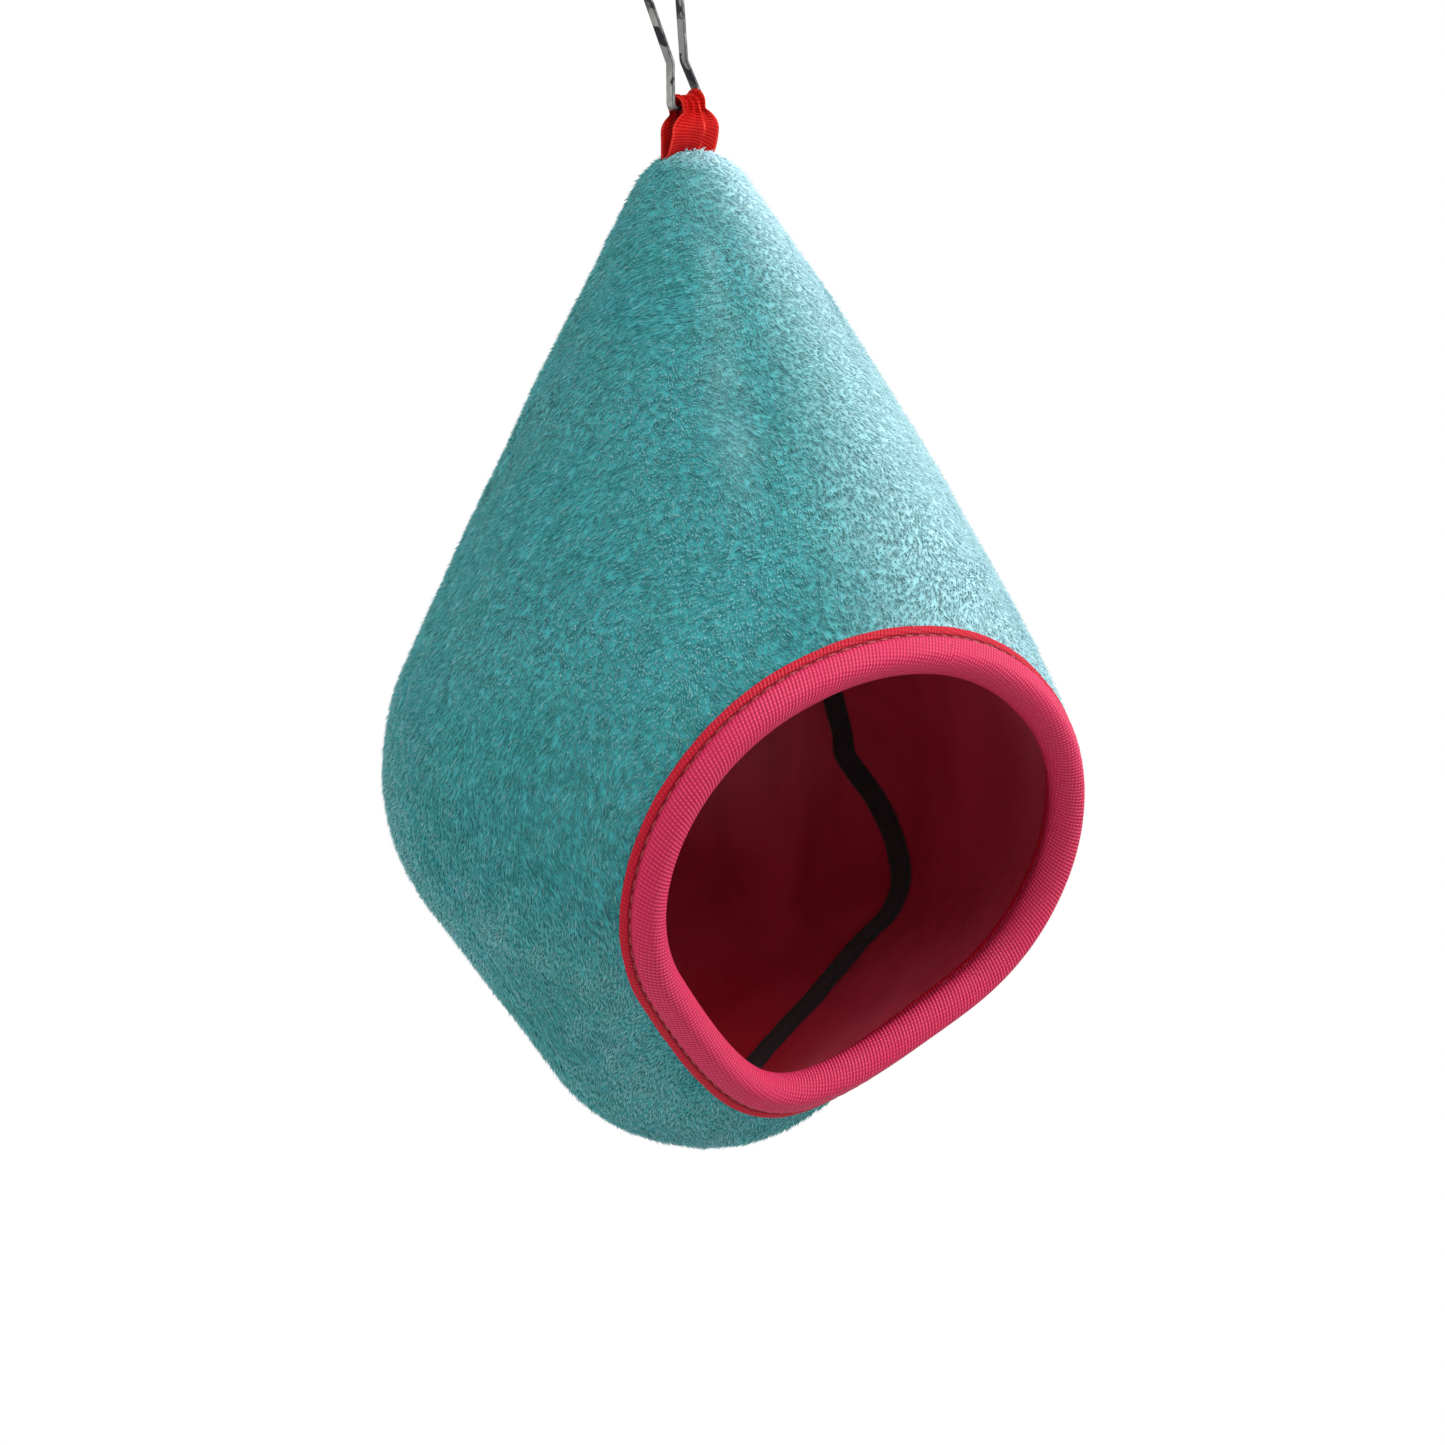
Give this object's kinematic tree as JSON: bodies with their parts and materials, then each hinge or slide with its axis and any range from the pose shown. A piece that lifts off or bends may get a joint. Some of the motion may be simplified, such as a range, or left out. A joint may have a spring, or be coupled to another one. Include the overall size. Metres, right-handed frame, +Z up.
{
  "type": "hanging hamster nest",
  "caption": "Drop-shaped padded plush nest with a taped round mouth, a ribbon loop at its apex and a bent steel strip clip that it hangs and swings on.",
  "frame": {"origin": "inside of the top of the clip's upper loop, where the clip hangs on a cage bar or hook", "axes": "+Z up, the way the clip pulls on what it hangs from; the mouth faces -Y; +X to the right seen from the front"},
  "size_m": [0.1194, 0.1113, 0.2134],
  "materials": {
    "plush": "short teal pile",
    "padding": "open cell foam sheet",
    "lining": "smooth dark red cloth",
    "seam_tape": "matte black woven tape",
    "mouth_tape": "ribbed hot pink tape",
    "ribbon": "fine ribbed red ribbon",
    "steel": "bright rolled strip"
  },
  "bodies": {
    "clip": {"hanging_clip": "steel"},
    "nest": {"plush_front": "plush", "plush_back": "plush", "padding_front": "padding", "padding_back": "padding", "lining_front": "lining", "lining_back": "lining", "seam_binding_right": "seam_tape", "seam_binding_left": "seam_tape", "mouth_binding": "mouth_tape", "ribbon_loop": "ribbon"}
  },
  "joints": [
    {"name": "clip_swing", "type": "hinge", "parent": "clip", "child": "nest", "pos_m": [0.00938, 0, -0.03272], "axis": [0.9613, 0, 0.2756], "range_deg": [-85, 85]}
  ]
}
